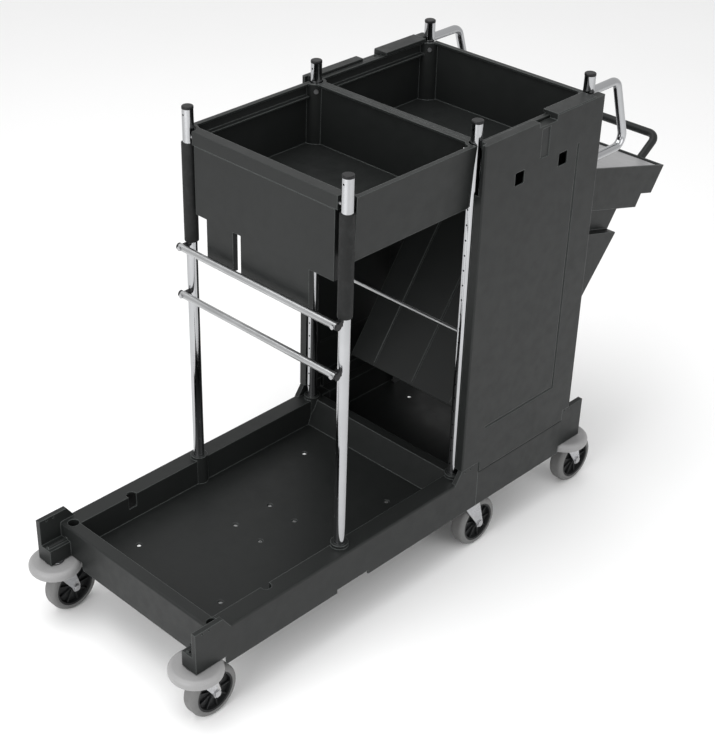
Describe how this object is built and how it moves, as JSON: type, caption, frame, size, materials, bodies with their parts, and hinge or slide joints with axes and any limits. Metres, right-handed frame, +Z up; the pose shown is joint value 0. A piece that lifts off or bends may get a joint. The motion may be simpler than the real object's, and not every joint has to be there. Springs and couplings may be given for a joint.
{
  "type": "housekeeping cart",
  "caption": "Wheeled housekeeping cart with a low open deck tray, two raised trays on tube posts, side panels, push handles and a tilting hopper with a lid.",
  "frame": {"origin": "on the floor, under the middle of the cart's bounding box", "axes": "+X from the open deck towards the push handles, +Z up, -Y the left of a person pushing"},
  "size_m": [1.7045, 0.597, 1.112],
  "materials": {
    "charcoal_plastic": "fine-textured moulded charcoal plastic",
    "chrome_steel": "bright chrome plate on steel tube",
    "satin_steel": "satin steel tube",
    "zinc_steel": "bright zinc plate on pressed steel",
    "screw_steel": "plain steel",
    "black_plastic": "smooth black plastic",
    "sleeve_rubber": "black ribbed grip",
    "grey_plastic": "light grey moulded plastic",
    "grey_tyre": "grey non-marking tread",
    "hub_plastic": "dark moulded hub"
  },
  "bodies": {
    "cart": {"base_front": "charcoal_plastic", "base_rear": "charcoal_plastic", "section_bolts": "screw_steel", "front_posts": "chrome_steel", "mid_posts": "chrome_steel", "rear_posts": "chrome_steel", "post_caps": "black_plastic", "grip_sleeve_left": "sleeve_rubber", "grip_sleeve_right": "sleeve_rubber", "upper_rail": "satin_steel", "lower_rail": "satin_steel", "rail_plugs": "black_plastic", "rail_saddles": "black_plastic", "cross_rod": "satin_steel", "front_tray": "charcoal_plastic", "rear_tray": "charcoal_plastic", "frame_screws": "screw_steel", "front_panel": "charcoal_plastic", "side_panel_left": "charcoal_plastic", "side_panel_right": "charcoal_plastic", "push_handle_left": "chrome_steel", "push_handle_right": "chrome_steel", "hopper_brackets": "satin_steel", "castor_plates": "zinc_steel"},
    "hopper": {"hopper_bin": "charcoal_plastic", "hopper_hood": "charcoal_plastic", "lid_rod": "screw_steel", "hopper_grip": "charcoal_plastic", "hopper_pins": "screw_steel"},
    "lid": {"hopper_lid": "grey_plastic"},
    "fork_front_left": {"castor_fork_front_left": "zinc_steel", "castor_axle_front_left": "screw_steel", "castor_bumper_front_left": "grey_plastic"},
    "wheel_front_left": {"wheel_hub_front_left": "hub_plastic", "wheel_tyre_front_left": "grey_tyre"},
    "fork_front_right": {"castor_fork_front_right": "zinc_steel", "castor_axle_front_right": "screw_steel", "castor_bumper_front_right": "grey_plastic"},
    "wheel_front_right": {"wheel_hub_front_right": "hub_plastic", "wheel_tyre_front_right": "grey_tyre"},
    "fork_rear_left": {"castor_fork_rear_left": "zinc_steel", "castor_axle_rear_left": "screw_steel", "castor_bumper_rear_left": "grey_plastic"},
    "wheel_rear_left": {"wheel_hub_rear_left": "hub_plastic", "wheel_tyre_rear_left": "grey_tyre"},
    "fork_rear_right": {"castor_fork_rear_right": "zinc_steel", "castor_axle_rear_right": "screw_steel", "castor_bumper_rear_right": "grey_plastic"},
    "wheel_rear_right": {"wheel_hub_rear_right": "hub_plastic", "wheel_tyre_rear_right": "grey_tyre"},
    "fork_mid_left": {"castor_fork_mid_left": "zinc_steel", "castor_axle_mid_left": "screw_steel"},
    "wheel_mid_left": {"wheel_hub_mid_left": "hub_plastic", "wheel_tyre_mid_left": "grey_tyre"},
    "fork_mid_right": {"castor_fork_mid_right": "zinc_steel", "castor_axle_mid_right": "screw_steel"},
    "wheel_mid_right": {"wheel_hub_mid_right": "hub_plastic", "wheel_tyre_mid_right": "grey_tyre"}
  },
  "joints": [
    {"name": "hopper_tilt", "type": "hinge", "parent": "cart", "child": "hopper", "pos_m": [0.34525, 0, 0.228], "axis": [0, 1, 0], "range_deg": [-35, 0]},
    {"name": "lid_hinge", "type": "hinge", "parent": "hopper", "child": "lid", "pos_m": [0.48719, 0, 0.8362], "axis": [0, -1, 0], "range_deg": [0, 80]},
    {"name": "swivel_front_left", "type": "hinge", "parent": "cart", "child": "fork_front_left", "pos_m": [-0.79275, -0.239, 0.1475], "axis": [0, 0, 1], "continuous": true},
    {"name": "roll_front_left", "type": "hinge", "parent": "fork_front_left", "child": "wheel_front_left", "pos_m": [-0.75675, -0.239, 0.0625], "axis": [0, 1, 0], "continuous": true},
    {"name": "swivel_front_right", "type": "hinge", "parent": "cart", "child": "fork_front_right", "pos_m": [-0.79275, 0.239, 0.1475], "axis": [0, 0, 1], "continuous": true},
    {"name": "roll_front_right", "type": "hinge", "parent": "fork_front_right", "child": "wheel_front_right", "pos_m": [-0.75675, 0.239, 0.0625], "axis": [0, 1, 0], "continuous": true},
    {"name": "swivel_rear_left", "type": "hinge", "parent": "cart", "child": "fork_rear_left", "pos_m": [0.43225, -0.239, 0.1475], "axis": [0, 0, 1], "continuous": true},
    {"name": "roll_rear_left", "type": "hinge", "parent": "fork_rear_left", "child": "wheel_rear_left", "pos_m": [0.46825, -0.239, 0.0625], "axis": [0, 1, 0], "continuous": true},
    {"name": "swivel_rear_right", "type": "hinge", "parent": "cart", "child": "fork_rear_right", "pos_m": [0.43225, 0.239, 0.1475], "axis": [0, 0, 1], "continuous": true},
    {"name": "roll_rear_right", "type": "hinge", "parent": "fork_rear_right", "child": "wheel_rear_right", "pos_m": [0.46825, 0.239, 0.0625], "axis": [0, 1, 0], "continuous": true},
    {"name": "swivel_mid_left", "type": "hinge", "parent": "cart", "child": "fork_mid_left", "pos_m": [0.05175, -0.239, 0.1475], "axis": [0, 0, 1], "continuous": true},
    {"name": "roll_mid_left", "type": "hinge", "parent": "fork_mid_left", "child": "wheel_mid_left", "pos_m": [0.08775, -0.239, 0.0625], "axis": [0, 1, 0], "continuous": true},
    {"name": "swivel_mid_right", "type": "hinge", "parent": "cart", "child": "fork_mid_right", "pos_m": [0.05175, 0.239, 0.1475], "axis": [0, 0, 1], "continuous": true},
    {"name": "roll_mid_right", "type": "hinge", "parent": "fork_mid_right", "child": "wheel_mid_right", "pos_m": [0.08775, 0.239, 0.0625], "axis": [0, 1, 0], "continuous": true}
  ]
}
